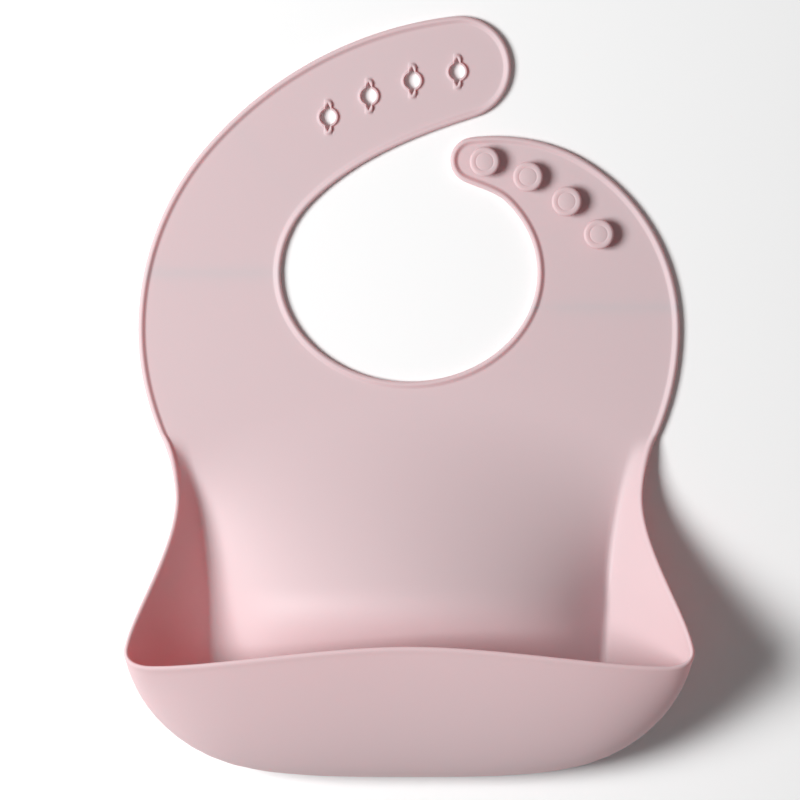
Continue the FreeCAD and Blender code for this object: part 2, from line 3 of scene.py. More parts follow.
import bmesh
import bpy
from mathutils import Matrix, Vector
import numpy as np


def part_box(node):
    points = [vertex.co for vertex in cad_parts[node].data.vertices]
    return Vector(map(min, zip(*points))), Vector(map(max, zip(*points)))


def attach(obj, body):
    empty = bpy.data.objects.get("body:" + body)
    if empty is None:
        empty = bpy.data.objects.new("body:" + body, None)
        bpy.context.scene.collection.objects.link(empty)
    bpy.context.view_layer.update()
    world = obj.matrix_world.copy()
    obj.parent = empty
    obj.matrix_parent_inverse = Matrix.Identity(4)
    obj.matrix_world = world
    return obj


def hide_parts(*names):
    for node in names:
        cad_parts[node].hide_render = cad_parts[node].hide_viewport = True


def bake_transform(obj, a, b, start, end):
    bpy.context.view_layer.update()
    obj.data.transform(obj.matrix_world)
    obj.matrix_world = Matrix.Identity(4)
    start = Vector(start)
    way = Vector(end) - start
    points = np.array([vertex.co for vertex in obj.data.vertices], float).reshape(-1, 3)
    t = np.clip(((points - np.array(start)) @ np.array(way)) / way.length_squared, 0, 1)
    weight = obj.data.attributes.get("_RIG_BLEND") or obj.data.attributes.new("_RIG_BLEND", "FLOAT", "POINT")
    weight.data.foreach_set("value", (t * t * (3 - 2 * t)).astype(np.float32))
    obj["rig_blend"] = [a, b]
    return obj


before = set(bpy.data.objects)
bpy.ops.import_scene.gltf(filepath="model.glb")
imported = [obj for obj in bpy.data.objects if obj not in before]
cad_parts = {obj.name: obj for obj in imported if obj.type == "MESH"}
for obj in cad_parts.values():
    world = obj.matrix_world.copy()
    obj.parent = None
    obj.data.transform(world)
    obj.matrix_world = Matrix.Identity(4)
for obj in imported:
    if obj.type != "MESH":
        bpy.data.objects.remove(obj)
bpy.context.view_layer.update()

# A soft silicone feeding bib lying on its back. Lengths in this list are millimetres; MM makes them metres.
MM = 0.001

# Sheet and edge bead
SHEET = 1.6
BEAD_HEIGHT = 2.8
LIP_BEAD_EXTRA = 0.15
POINT_SPACING = 1.8          # distance between neighbouring points of an edge

# Neck opening, shoulders and straps
NECK_HALF_WIDTH = 52.2
NECK_HALF_HEIGHT = 44.2
NECK_SPLIT_DEG = 25.0
SHOULDER_HALF_WIDTH = 110.2
SHOULDER_Y = -23.0
SIDE_RADIUS = 107.0
SIDE_END_DEG = 21.4
SHOULDER_RADIUS = 113.5
SLOT_TIP_CENTRE = (20.5, 83.5)
SLOT_TIP_RADIUS = 21.0
SLOT_STRAP_RADIUS = 157.0
SLOT_TIP_TURN_DEG = 17.5
SLOT_NECK_DEG = 140.0
STUD_SIDE_RADIUS = 80.5
STUD_SIDE_END_DEG = 60.0
STUD_TIP_CENTRE = (26.2, 45.8)
STUD_TIP_RADIUS = 9.4
STUD_TIP_LOW_DEG = 245.0
STUD_TIP_HIGH_DEG = 97.0
STUD_TIP_TURN_DEG = 155.0
STUD_NECK_DEG = 40.0

# Studs and slots
STUD_NODES = ["stud_1", "stud_2", "stud_3", "stud_4"]
SLOT_NODES = ["slot_collar_1", "slot_collar_2", "slot_collar_3", "slot_collar_4"]
STEM_RADIUS = 2.6
CAP_RADIUS = 6.1
CAP_HEIGHT = 2.2
CAP_BOTTOM = 4.9
CAP_ROUND = 0.3              # rounding under the cap and round its lower edge
CAP_CROWN = 0.05             # how much the middle of the cap is raised
CAP_EDGE = ((0.0, 0.95), (0.12, 0.55), (0.6, 0.1), (1.0, 0.0))       # in from the side, down from the top
CAP_RING = ((4.1, 0.0), (3.9, 0.05), (3.7, 0.13), (3.5, 0.13), (3.3, 0.05), (3.1, 0.0))    # radius, depth
STEM_FOOT = ((0.9, -0.6), (0.9, 0.0), (0.3, 0.25), (0.0, 0.8))       # out from the stem, up from the strap
STUD_SIDES = 64
STUD_SMOOTH_DEG = 35.0
SLOT_RADIUS = 3.1
SLOT_POINT_REACH = 5.4
SLOT_POINT_WIDTH = 2.6
COLLAR_WIDTH = 1.1
COLLAR_LOBE_RADIUS = 1.7

# Arched torso panel
CHEST_Y = -50.0
ARCH_HEIGHT = 40.0
ARCH_RUN = 120.0
ARCH_EDGE = 0.5
ARCH_DIP = 20.0
FLOOR_Y = -182.0              # the panel lies on the table again from here down
FLOOR_RUN = 54.0
CREASE_HALF_WIDTH = 80.5
CREASE_INSET = 1.9
CREASE_SPREAD = 13.0
CREASE_POWER = 2.0
WAIST_TOP_Y = -66.0
WAIST_HALF_WIDTH = 95.2
WAIST_Y = -92.0

# Pocket
MOUTH_HALF_WIDTH = 115.0
MOUTH_CORNER_Y = -151.5
MOUTH_CORNER_Z = 47.3
MOUTH_CORNER_DEG = 259.0
MOUTH_CORNER_PULL = 5.1
SIDE_RIM_DEG = 79.5
LIP_DIP_POINT = (-104.0, -159.6)
LIP_DIP_PULL = 7.5
LIP_RISE_SHARE = 0.23
LIP_CREST_SHARE = 0.34
LIP_Y = -151.4
LIP_Z = 55.4
SEAM_START_Y = -156.0
POCKET_BOTTOM_Y = -203.0
SEAM_POWER = 3.83
BELLY = 25.0
BELLY_START = 0.65
BELLY_FULL = 1.67
CORNER_EASE = 0.21
LIP_SPACING_POWER = 2.33
RIM_RISE_POWER = 1.25
SIDE_STATIONS = 56
FRONT_STATIONS = 64
CORNER_STATION = 32          # front station where the floor's side edge turns into its lower edge
RIM_START_SHARE = 0.12       # share of the side over which the rim thickens from the flat sheet
WALL_START_SHARE = 0.25      # and over which its bead changes from the flat one to the wall's
CORNER_SPACING = 0.3         # between points of the lip by the mouth corner
LIP_SPACING = 0.5            # and along the rest of it

# Cross-section of the bead: distance from the edge, how raised, how far open between its two faces
BEAD_ROWS = ((0.0, 1.0, 0.15), (0.08, 1.0, 0.36), (0.3, 1.0, 0.66), (0.65, 1.0, 0.89), (1.2, 1.0, 1.0),
             (1.6, 0.93, 1.0), (2.0, 0.70, 1.0), (2.4, 0.35, 1.0), (2.9, 0.08, 1.0), (3.25, 0.0, 1.0),
             (3.6, 0.0, 1.0))
BEAD_REACH = BEAD_ROWS[-1][0]
# The same round a slot, the distance as a share of the collar's width
COLLAR_ROWS = ((0.0, 1.0, 0.2), (0.08, 1.0, 0.5), (0.25, 1.0, 0.85), (0.45, 1.0, 1.0),
               (0.75, 0.95, 1.0), (0.95, 0.55, 1.0), (1.15, 0.08, 1.0), (1.4, 0.0, 1.0), (1.9, 0.0, 1.0))
WALL_ROWS = 14               # between the bead and the rounded valley
VALLEY_ROWS = 9              # through the valley
VALLEY_RADIUS = 3.0          # how far the rounding reaches up the wall and over the panel
VALLEY_MOST = 0.45           # the most of the wall's height that it takes
VALLEY_STEPS = 12
VALLEY_CLEAR = 1.02          # wall points closer to the seam than this, in valley radii, are left out
WALL_ROWS_SHARE = 0.35       # the least share of the rib that the wall's own rows take
WALL_SPACING = 0.7
LEAST_SLANT = 0.6            # keeps the bead from growing too wide where a rib leaves at a slant
FLAT_RIB = 8.2               # reach of the border beside the flat chest
SLOT_POINTS = 72
EASE_ROUNDS = 40
SHEET_SMOOTH_DEG = 50.0

# Places where the sheet bends and where its pieces meet
SLOT_SPLIT_Y = 0.0
STUD_SPLIT_Y = -14.0
SLOT_ROOT_Y = (2.0, 24.0)
STUD_ROOT_Y = (-12.0, 6.0)
SLOT_MID_POINT = (-48.0, 53.0)
SLOT_MID_HEADING_DEG = 41.0
SLOT_MID_HALF_BAND = 8.0
SLOT_MID_SPLIT = -13.0       # along the strap from the mid point
STRAP_GAP_Y = 58.0           # passes between the two strap tips
STRAP_GAP_X = 16.0
BEND_SPACING = 3.0
ROOT_REACH = 40.0            # the straps' roots are cut within this distance of the neck's middle
STRAP_LOW_Y = 5.0            # the slotted strap's middle is cut above this
POCKET_BEND_START = (0.0, -135.0, 32.0)     # along the slope of the arch, which stays still
POCKET_BEND_END = (0.0, -147.0, 51.0)

# Studio: metres and watts
FLOOR_SIZE = 6.0
FLOOR_DROP = 0.0002
WORLD_LIGHT = 0.15
KEY_PLACE = (-1.35, -0.05, 1.4)
KEY_AIM = (0.0, -0.05, 0.0)
KEY_SIZE = 0.8
KEY_WATTS = 48.5
VIEW_MIDDLE = (-0.0037, -0.0517, 0.0)
VIEW_WIDTH = 0.3256
VIEW_DISTANCE = 5.0
VIEW_FAR = 20.0
SENSOR_WIDTH = 36.0


# --- Plan curves

def arc(centre, radius, start_deg, end_deg):
    turn = math.radians(end_deg - start_deg)
    count = max(int(abs(turn) * radius / POINT_SPACING) + 1, 2)
    return [ahead(centre, start_deg + (end_deg - start_deg) * index / count, radius)
            for index in range(count + 1)]


def ellipse(start_deg, end_deg):
    count = max(int(abs(math.radians(end_deg - start_deg)) * NECK_HALF_WIDTH / POINT_SPACING) + 1, 2)
    points = []
    for index in range(count + 1):
        angle = math.radians(start_deg + (end_deg - start_deg) * index / count)
        points.append((NECK_HALF_WIDTH * math.cos(angle), NECK_HALF_HEIGHT * math.sin(angle)))
    return points


def ellipse_heading(angle_deg):
    angle = math.radians(angle_deg)
    return bearing((0, 0), (-NECK_HALF_WIDTH * math.sin(angle), NECK_HALF_HEIGHT * math.cos(angle)))


def bezier(p0, p1, p2, p3, spacing=POINT_SPACING):
    """Points along a cubic curve in two or three dimensions."""
    count = max(int(1.05 * math.dist(p0, p3) / spacing) + 1, 2)
    points = []
    for index in range(count + 1):
        t = index / count
        weights = ((1 - t) ** 3, 3 * t * (1 - t) ** 2, 3 * t * t * (1 - t), t ** 3)
        points.append(tuple(sum(w * p[axis] for w, p in zip(weights, (p0, p1, p2, p3)))
                            for axis in range(len(p0))))
    return points


def chain(*runs):
    points = list(runs[0])
    for run in runs[1:]:
        points.extend(run[1:])
    return points


def ahead(point, heading_deg, distance):
    angle = math.radians(heading_deg)
    return (point[0] + distance * math.cos(angle), point[1] + distance * math.sin(angle))


def bearing(start, end):
    return math.degrees(math.atan2(end[1] - start[1], end[0] - start[0]))


def soft_join(start, start_heading, end, end_heading):
    reach = math.dist(start, end) / 3.0
    return bezier(start, ahead(start, start_heading, reach), ahead(end, end_heading, -reach), end)


def left_edge():
    """Left edge from the shoulder, past the waist, down to the mouth corner."""
    centre = (-SHOULDER_HALF_WIDTH + SIDE_RADIUS, SHOULDER_Y)
    side = arc(centre, SIDE_RADIUS, 180.0, 180.0 + SIDE_END_DEG)
    waist = (-WAIST_HALF_WIDTH, WAIST_Y)
    drop = WAIST_Y - MOUTH_CORNER_Y
    corner = (-MOUTH_HALF_WIDTH, MOUTH_CORNER_Y)
    upper = soft_join(side[-1], SIDE_END_DEG - 90.0, waist, -90.0)
    lower = bezier(waist, (waist[0], WAIST_Y - drop / 3), ahead(corner, SIDE_RIM_DEG, drop / 4), corner)
    return chain(side, upper, lower)


def slot_strap_path():
    """Round the slotted strap, clockwise, from its shoulder to the neck opening."""
    shoulder_centre = (-SHOULDER_HALF_WIDTH + SHOULDER_RADIUS, SHOULDER_Y)
    tip = SLOT_TIP_CENTRE
    spread = math.dist(shoulder_centre, tip)
    reach_a = SLOT_STRAP_RADIUS - SHOULDER_RADIUS
    reach_b = SLOT_STRAP_RADIUS - SLOT_TIP_RADIUS
    along = (reach_a ** 2 - reach_b ** 2 + spread ** 2) / (2 * spread)
    across = math.sqrt(reach_a ** 2 - along ** 2)
    foot = ahead(shoulder_centre, bearing(shoulder_centre, tip), along)
    long_centre = ahead(foot, bearing(shoulder_centre, tip) - 90.0, across)
    shoulder_turn = bearing(long_centre, shoulder_centre)
    tip_turn = bearing(long_centre, tip)
    inner_start = ahead(tip, SLOT_TIP_TURN_DEG - 90.0, SLOT_TIP_RADIUS)
    inner_end = ellipse(SLOT_NECK_DEG, SLOT_NECK_DEG + 1)[0]
    return chain(
        arc(shoulder_centre, SHOULDER_RADIUS, 180.0, shoulder_turn),
        arc(long_centre, SLOT_STRAP_RADIUS, shoulder_turn, tip_turn),
        arc(tip, SLOT_TIP_RADIUS, tip_turn, SLOT_TIP_TURN_DEG - 90.0),
        soft_join(inner_start, SLOT_TIP_TURN_DEG + 180.0, inner_end, ellipse_heading(SLOT_NECK_DEG)),
        ellipse(SLOT_NECK_DEG, 180.0 + NECK_SPLIT_DEG))


def stud_strap_path():
    """Round the studded strap, clockwise, from the neck opening to its shoulder."""
    tip = STUD_TIP_CENTRE
    outer_centre = (SHOULDER_HALF_WIDTH - STUD_SIDE_RADIUS, SHOULDER_Y)
    neck_point = ellipse(STUD_NECK_DEG, STUD_NECK_DEG + 1)[0]
    tip_low = ahead(tip, STUD_TIP_LOW_DEG, STUD_TIP_RADIUS)
    tip_high = ahead(tip, STUD_TIP_HIGH_DEG, STUD_TIP_RADIUS)
    outer_point = ahead(outer_centre, STUD_SIDE_END_DEG, STUD_SIDE_RADIUS)
    return chain(
        ellipse(-NECK_SPLIT_DEG, STUD_NECK_DEG),
        soft_join(neck_point, ellipse_heading(STUD_NECK_DEG), tip_low, STUD_TIP_TURN_DEG),
        arc(tip, STUD_TIP_RADIUS, STUD_TIP_LOW_DEG, STUD_TIP_HIGH_DEG),
        soft_join(tip_high, STUD_TIP_HIGH_DEG - 90.0, outer_point, STUD_SIDE_END_DEG - 90.0),
        arc(outer_centre, STUD_SIDE_RADIUS, STUD_SIDE_END_DEG, 0.0))


def flip(points):
    return [(-point[0],) + tuple(point[1:]) for point in points]


def x_at(points, y):
    """X of a path that runs steadily down, at a given Y."""
    for a, b in zip(points, points[1:]):
        if b[1] <= y <= a[1]:
            return a[0] + (b[0] - a[0]) * (a[1] - y) / (a[1] - b[1])
    return points[-1][0]


def at_share(points, share):
    lengths = [math.dist(a, b) for a, b in zip(points, points[1:])]
    left = share * sum(lengths)
    for index, length in enumerate(lengths):
        if left <= length or index == len(lengths) - 1:
            t = min(left / length, 1.0)
            return tuple(a + (b - a) * t for a, b in zip(points[index], points[index + 1]))
        left -= length


# --- Shape of the torso panel and the pocket wall

def smooth(value):
    value = min(max(value, 0.0), 1.0)
    return value * value * (3 - 2 * value)


def crease_half(y):
    rise = max(0.0, (y - SEAM_START_Y) / (WAIST_TOP_Y - SEAM_START_Y))
    return CREASE_HALF_WIDTH + CREASE_SPREAD * rise ** CREASE_POWER


def arch(x, y):
    """Height of the underside of the panel above the table."""
    start = CHEST_Y - ARCH_DIP * (x / WAIST_HALF_WIDTH) ** 2
    rise = smooth((start - y) / ARCH_RUN)
    fall = smooth((y - FLOOR_Y) / FLOOR_RUN)
    share = min(abs(x) / (crease_half(y) - CREASE_INSET), 1.0)
    return ARCH_HEIGHT * rise * fall * (1 - (1 - ARCH_EDGE) * share ** 2 - ARCH_EDGE * share ** 6)


def belly_at(progress):
    return BELLY * smooth((progress - BELLY_START) / (BELLY_FULL - BELLY_START))


def resampled(points, distances):
    """Points of a 3-D polyline at given distances along it."""
    found = []
    passed = 0.0
    index = 0
    for distance in distances:
        length = math.dist(points[index], points[index + 1])
        while passed + length < distance and index < len(points) - 2:
            passed += length
            index += 1
            length = math.dist(points[index], points[index + 1])
        t = (distance - passed) / length
        found.append(tuple(a + (b - a) * t for a, b in zip(points[index], points[index + 1])))
    return found


def path_length(points):
    return sum(math.dist(a, b) for a, b in zip(points, points[1:]))


def wall_rib(seam, rim, out, belly, inward, along):
    """Points from the rim down the wall, through the rounded valley and a little over the panel.

    along is the direction of the rim there: the bead keeps its width where the rib leaves it at a slant.
    """
    controls = []
    for share in (1 / 3, 2 / 3):
        controls.append(tuple(s + (r - s) * share + belly * o for s, r, o in zip(seam, rim, (*out, 0.0))))
    wall = bezier(rim, controls[1], controls[0], seam, WALL_SPACING)
    height = path_length(wall)
    wall_round = min(VALLEY_RADIUS, VALLEY_MOST * height)
    top = resampled(wall, [height - wall_round])[0]
    plan = (seam[0] + inward[0] * VALLEY_RADIUS, seam[1] + inward[1] * VALLEY_RADIUS)
    foot = (plan[0], plan[1], arch(*plan))
    straight = [point for point in wall if math.dist(point, seam) > wall_round * VALLEY_CLEAR]
    valley = []
    for index in range(VALLEY_STEPS + 1):
        t = index / VALLEY_STEPS
        valley.append(tuple((1 - t) ** 2 * a + 2 * t * (1 - t) * b + t * t * c
                            for a, b, c in zip(top, seam, foot)))
    path = (straight or [rim]) + (valley if straight else valley[1:])
    down = Vector(wall[1]) - Vector(wall[0])
    slant = max(down.normalized().cross(Vector(along).normalized()).length, LEAST_SLANT)
    bead = [row[0] / slant for row in BEAD_ROWS]
    total = path_length(path)
    valley_start = max(total - path_length(valley), bead[-1] + WALL_ROWS_SHARE * (total - bead[-1]))
    rest = [bead[-1] + (valley_start - bead[-1]) * (index + 1) / WALL_ROWS for index in range(WALL_ROWS)]
    rest += [valley_start + (total - valley_start) * (index + 1) / VALLEY_ROWS for index in range(VALLEY_ROWS)]
    return resampled(path, bead + rest)


def flat_rib(edge, heading_deg, full):
    """Points from a flat edge inward: the bead only, or as many as a wall rib has."""
    distances = [row[0] for row in BEAD_ROWS]
    if full:
        count = WALL_ROWS + VALLEY_ROWS
        distances += [BEAD_REACH + (FLAT_RIB - BEAD_REACH) * (index + 1) / count for index in range(count)]
    return [(*ahead(edge, heading_deg, distance), 0.0) for distance in distances]


def wall_stations():
    """Seam, rim, outward direction, belly and inward direction round the left half of the pocket wall."""
    edge = left_edge()
    corner = (-MOUTH_HALF_WIDTH, MOUTH_CORNER_Y)
    dip = LIP_DIP_POINT
    lip = chain(bezier(corner, ahead(corner, MOUTH_CORNER_DEG, MOUTH_CORNER_PULL),
                       (dip[0] - LIP_DIP_PULL, dip[1]), dip, CORNER_SPACING),
                bezier(dip, (dip[0] * (1 - LIP_RISE_SHARE), dip[1]),
                       (dip[0] * LIP_CREST_SHARE, LIP_Y), (0.0, LIP_Y), LIP_SPACING))
    stations = []
    for index in range(1, SIDE_STATIONS + 1):
        share = index / SIDE_STATIONS
        seam_y = WAIST_TOP_Y + (SEAM_START_Y - WAIST_TOP_Y) * share
        rim_y = WAIST_TOP_Y + (MOUTH_CORNER_Y - WAIST_TOP_Y) * share
        rim_z = SHEET * smooth(share / RIM_START_SHARE) + (MOUTH_CORNER_Z - SHEET) * share ** RIM_RISE_POWER
        stations.append(((-crease_half(seam_y), seam_y, 0.0), (x_at(edge, rim_y), rim_y, rim_z),
                         (-1.0, 0.0), belly_at(share), (1.0, 0.0)))
    seams = []
    drop = POCKET_BOTTOM_Y - SEAM_START_Y
    for index in range(FRONT_STATIONS + 1):
        turn = index / FRONT_STATIONS * math.pi / 2
        seams.append((-CREASE_HALF_WIDTH * max(math.cos(turn), 0.0) ** (2 / SEAM_POWER),
                      SEAM_START_Y + drop * math.sin(turn) ** (2 / SEAM_POWER), 0.0))
    seams.append((-seams[-2][0], seams[-2][1], 0.0))
    for index in range(1, FRONT_STATIONS + 1):
        share = index / FRONT_STATIONS
        turn = share * math.pi / 2
        lip_share = CORNER_EASE * share + (1 - CORNER_EASE) * share ** LIP_SPACING_POWER
        rim = (*at_share(lip, lip_share), MOUTH_CORNER_Z + (LIP_Z - MOUTH_CORNER_Z) * math.sin(turn))
        heading = bearing(seams[index - 1], seams[index + 1]) + 90.0
        stations.append((seams[index], rim, (-math.cos(turn), -math.sin(turn)), belly_at(1 + share),
                         ahead((0.0, 0.0), heading, 1.0)))
    return stations


def border_ribs():
    """All ribs round the bib, clockwise from the left chest, as (points, wall share) pairs.

    The wall share is 0 where the sheet lies flat and 1 where it stands up as a pocket wall.
    """
    edge = left_edge()
    chest = [(x_at(edge, CHEST_Y), CHEST_Y)] + [point for point in edge if point[1] > CHEST_Y][::-1]
    outline = chain(chest, slot_strap_path(), ellipse(180.0 + NECK_SPLIT_DEG, 360.0 - NECK_SPLIT_DEG),
                    stud_strap_path(), flip(chest[::-1]))
    ribs = []
    for index, point in enumerate(outline):
        before = outline[max(index - 1, 0)]
        after = outline[min(index + 1, len(outline) - 1)]
        full = index in (0, len(outline) - 1)
        ribs.append((flat_rib(point, bearing(before, after) - 90.0, full), 0.0))
    top_turn = bearing(outline[0], outline[1]) - 90.0

    stations = wall_stations()
    left = []
    count = int((CHEST_Y - WAIST_TOP_Y) / POINT_SPACING)
    for index in range(1, count + 1):
        y = CHEST_Y + (WAIST_TOP_Y - CHEST_Y) * index / count
        left.append((flat_rib((x_at(edge, y), y), top_turn * (1 - index / count), True), 0.0))
    for index, (seam, rim, out, belly, inward) in enumerate(stations):
        before = stations[max(index - 1, 0)][1]
        after = stations[min(index + 1, len(stations) - 1)][1]
        along = tuple(b - a for a, b in zip(before, after))
        share = smooth((index + 1) / SIDE_STATIONS / WALL_START_SHARE)
        left.append((wall_rib(seam, rim, out, belly, inward, along), share))
    right = [(flip(points), share) for points, share in left]
    return ribs, right[:-1] + left[::-1], len(left)


# --- Building the sheet

def new_object(name, mesh_data):
    piece = bpy.data.objects.new(name, mesh_data)
    bpy.context.collection.objects.link(piece)
    return piece


def only(piece):
    bpy.ops.object.select_all(action="DESELECT")
    piece.select_set(True)
    bpy.context.view_layer.objects.active = piece


def rises(raised, opened, wall):
    """Heights of the front and back faces over the back of the sheet, across a bead."""
    front = SHEET + raised * ((BEAD_HEIGHT - SHEET) * (1 - wall) + LIP_BEAD_EXTRA * wall)
    back = -raised * LIP_BEAD_EXTRA * wall
    middle = (front + back) / 2
    return middle + (front - middle) * opened, middle + (back - middle) * opened


def slot_radius(angle, radius, reach, half_width, lobe_centre, lobe):
    """Distance of a slot's outline from its middle, in one direction."""
    across = abs(math.cos(angle))
    up = abs(math.sin(angle))
    best = max(radius, 1 / (across / half_width + up / reach))
    if lobe > lobe_centre * across:
        best = max(best, lobe_centre * up + math.sqrt(lobe ** 2 - (lobe_centre * across) ** 2))
    return best


def slot_loops(place):
    """Loops from the edge of a slot out to the flat strap round its collar."""
    loops = []
    for share, _, _ in COLLAR_ROWS:
        loop = []
        for index in range(SLOT_POINTS):
            angle = 2 * math.pi * index / SLOT_POINTS
            inner = slot_radius(angle, SLOT_RADIUS, SLOT_POINT_REACH, SLOT_POINT_WIDTH, 1.0, 0.0)
            outer = slot_radius(angle, SLOT_RADIUS + COLLAR_WIDTH, SLOT_POINT_REACH + COLLAR_LOBE_RADIUS,
                                SLOT_POINT_WIDTH + COLLAR_WIDTH * 0.5, SLOT_POINT_REACH, COLLAR_LOBE_RADIUS)
            reach = inner + (outer - inner) * share
            loop.append((place[0] + reach * math.cos(angle), place[1] + reach * math.sin(angle), 0.0))
        loops.append(loop)
    return loops


def node_middle(node):
    low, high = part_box(node)
    return ((low[0] + high[0]) / 2 / MM, (low[1] + high[1]) / 2 / MM)


def coons(top, bottom, left, right):
    """Rows of plan points between four edges, the top row first."""
    rows = []
    last_row = len(left) - 1
    last_column = len(top) - 1
    for i in range(last_row + 1):
        v = i / last_row
        row = []
        for j in range(last_column + 1):
            u = j / last_column
            row.append(tuple(
                (1 - v) * top[j][axis] + v * bottom[j][axis] + (1 - u) * left[i][axis] + u * right[i][axis]
                - (1 - u) * (1 - v) * top[0][axis] - u * (1 - v) * top[-1][axis]
                - (1 - u) * v * bottom[0][axis] - u * v * bottom[-1][axis] for axis in (0, 1)))
        rows.append(row)
    return rows


def eased(rows):
    """The same grid with its inner points spread evenly."""
    for _ in range(EASE_ROUNDS):
        rows = [[row[j] if i in (0, len(rows) - 1) or j in (0, len(row) - 1) else
                 tuple((rows[i - 1][j][axis] + rows[i + 1][j][axis] + row[j - 1][axis] + row[j + 1][axis]) / 4
                       for axis in (0, 1)) for j in range(len(row))] for i, row in enumerate(rows)]
    return rows


def bend_lines():
    """Lines (point, heading across which the sheet bends, region test) where the flat sheet needs points."""
    lines = []
    for low, high, side in ((*SLOT_ROOT_Y, -1), (*STUD_ROOT_Y, 1)):
        for index in range(int((high - low) / BEND_SPACING) + 2):
            lines.append(((0.0, low + BEND_SPACING * index), 90.0, side))
    for index in range(int(2 * SLOT_MID_HALF_BAND / BEND_SPACING) + 2):
        distance = -SLOT_MID_HALF_BAND + BEND_SPACING * index
        lines.append((ahead(SLOT_MID_POINT, SLOT_MID_HEADING_DEG, distance), SLOT_MID_HEADING_DEG, 0))
    return lines


def on_strap(centre, side):
    """Whether a plan place in millimetres is on the strap that a bend line crosses."""
    if side == 1:
        return centre[0] > 0 and centre[1] < STRAP_GAP_Y
    if side == -1:
        return centre[0] < 0
    return centre[0] < 0 and centre[1] > SLOT_ROOT_Y[0]


def cut(bm, point, heading_deg, faces):
    """Adds points along a line across some faces."""
    normal = Vector((*ahead((0.0, 0.0), heading_deg, 1.0), 0.0))
    parts = set(faces)
    for face in faces:
        parts.update(face.edges)
        parts.update(face.verts)
    bmesh.ops.bisect_plane(bm, geom=list(parts), plane_co=Vector((point[0] * MM, point[1] * MM, 0.0)),
                           plane_no=normal, dist=1e-6)


def single_layer():
    """The back of the whole bib as one layer, with the two faces' heights stored on its points."""
    bm = bmesh.new()
    front_layer = bm.verts.layers.float.new("front_rise")
    back_layer = bm.verts.layers.float.new("back_rise")

    def vertex(point, heights=(SHEET, 0.0)):
        made = bm.verts.new(Vector(point) * MM)
        made[front_layer], made[back_layer] = heights
        return made

    def strip(first, second):
        for a, b, c, d in zip(first, first[1:], second[1:], second):
            bm.faces.new((a, b, c, d))

    outline, wall, half = border_ribs()
    ribs = []
    for points, share in outline + wall:
        row = []
        for index, point in enumerate(points):
            raised, opened = BEAD_ROWS[index][1:] if index < len(BEAD_ROWS) else (0.0, 1.0)
            row.append(vertex(point, rises(raised, opened, share)))
        ribs.append(row)
    for first, second in zip(ribs, ribs[1:] + ribs[:1]):
        strip(first, second)

    last = len(outline) - 1
    around = [ribs[0]] + ribs[:last:-1] + [ribs[last]]
    ends = [row[-1] for row in around]
    plan = [(end.co.x / MM, end.co.y / MM) for end in ends]
    side = half - FRONT_STATIONS + CORNER_STATION
    columns = len(ends) - 2 * side
    left = plan[:side + 1]
    right = plan[:len(plan) - side - 2:-1]
    bottom = plan[side:len(plan) - side]
    top = [tuple(a + (b - a) * j / (columns - 1) for a, b in zip(left[0], right[0])) for j in range(columns)]
    rows = eased(coons(top, bottom, left, right))
    grid = []
    for i, row in enumerate(rows):
        line = []
        for j, (x, y) in enumerate(row):
            if j == 0:
                line.append(ends[i])
            elif j == columns - 1:
                line.append(ends[-1 - i])
            elif i == side:
                line.append(ends[side + j])
            else:
                line.append(vertex((x, y, arch(x, y))))
        grid.append(line)
    for first, second in zip(grid, grid[1:]):
        strip(second, first)

    loops = []
    rim = len(BEAD_ROWS) - 1
    loops.append([row[rim] for row in ribs[:last + 1]] + ribs[last][rim + 1:] + grid[0][1:-1][::-1]
                 + ribs[0][:rim:-1])
    for node in SLOT_NODES:
        made = []
        for (_, raised, opened), loop in zip(COLLAR_ROWS, slot_loops(node_middle(node))):
            made.append([vertex(point, rises(raised, opened, 0.0)) for point in loop])
        for first, second in zip(made, made[1:]):
            strip(second + second[:1], first + first[:1])
        loops.append(made[-1])
    edges = []
    for loop in loops:
        for a, b in zip(loop, loop[1:] + loop[:1]):
            edges.append(bm.edges.get((a, b)) or bm.edges.new((a, b)))
    bmesh.ops.triangle_fill(bm, use_beauty=True, use_dissolve=False, edges=edges)
    for point, heading, side_test in bend_lines():
        faces = [face for face in bm.faces
                 if on_strap(face.calc_center_median() / MM, side_test) and len(face.edges) < 6
                 and face.calc_center_median().z < MM and face.calc_center_median().y > STUD_ROOT_Y[0] * MM * 2]
        cut(bm, point, heading, faces)
    bmesh.ops.recalc_face_normals(bm, faces=bm.faces)
    for face in bm.faces:
        if abs(face.normal.z) > 0.9:
            if face.normal.z < 0:
                bmesh.ops.reverse_faces(bm, faces=bm.faces)
            break
    return bm


def two_sided(bm):
    """Gives the layer its thickness and beads, as a closed shell."""
    front_layer = bm.verts.layers.float["front_rise"]
    back_layer = bm.verts.layers.float["back_rise"]
    bm.normal_update()
    pairs = {}
    for vertex in list(bm.verts):
        pairs[vertex] = (vertex.co + vertex.normal * vertex[front_layer] * MM,
                         vertex.co + vertex.normal * vertex[back_layer] * MM)
    backs = list(bm.faces)
    twins = {}
    for vertex, (front, _) in pairs.items():
        twins[vertex] = bm.verts.new(front)
    border = [edge for edge in bm.edges if edge.is_boundary]
    for face in backs:
        bm.faces.new([twins[vertex] for vertex in face.verts])
    for edge in border:
        a, b = edge.verts
        loop = edge.link_loops[0]
        if loop.vert is a:
            bm.faces.new((a, b, twins[b], twins[a]))
        else:
            bm.faces.new((b, a, twins[a], twins[b]))
    for vertex, (_, back) in pairs.items():
        vertex.co = back
    bmesh.ops.reverse_faces(bm, faces=backs)
    bmesh.ops.recalc_face_normals(bm, faces=bm.faces)
    if bm.calc_volume(signed=True) < 0:
        bmesh.ops.reverse_faces(bm, faces=bm.faces)


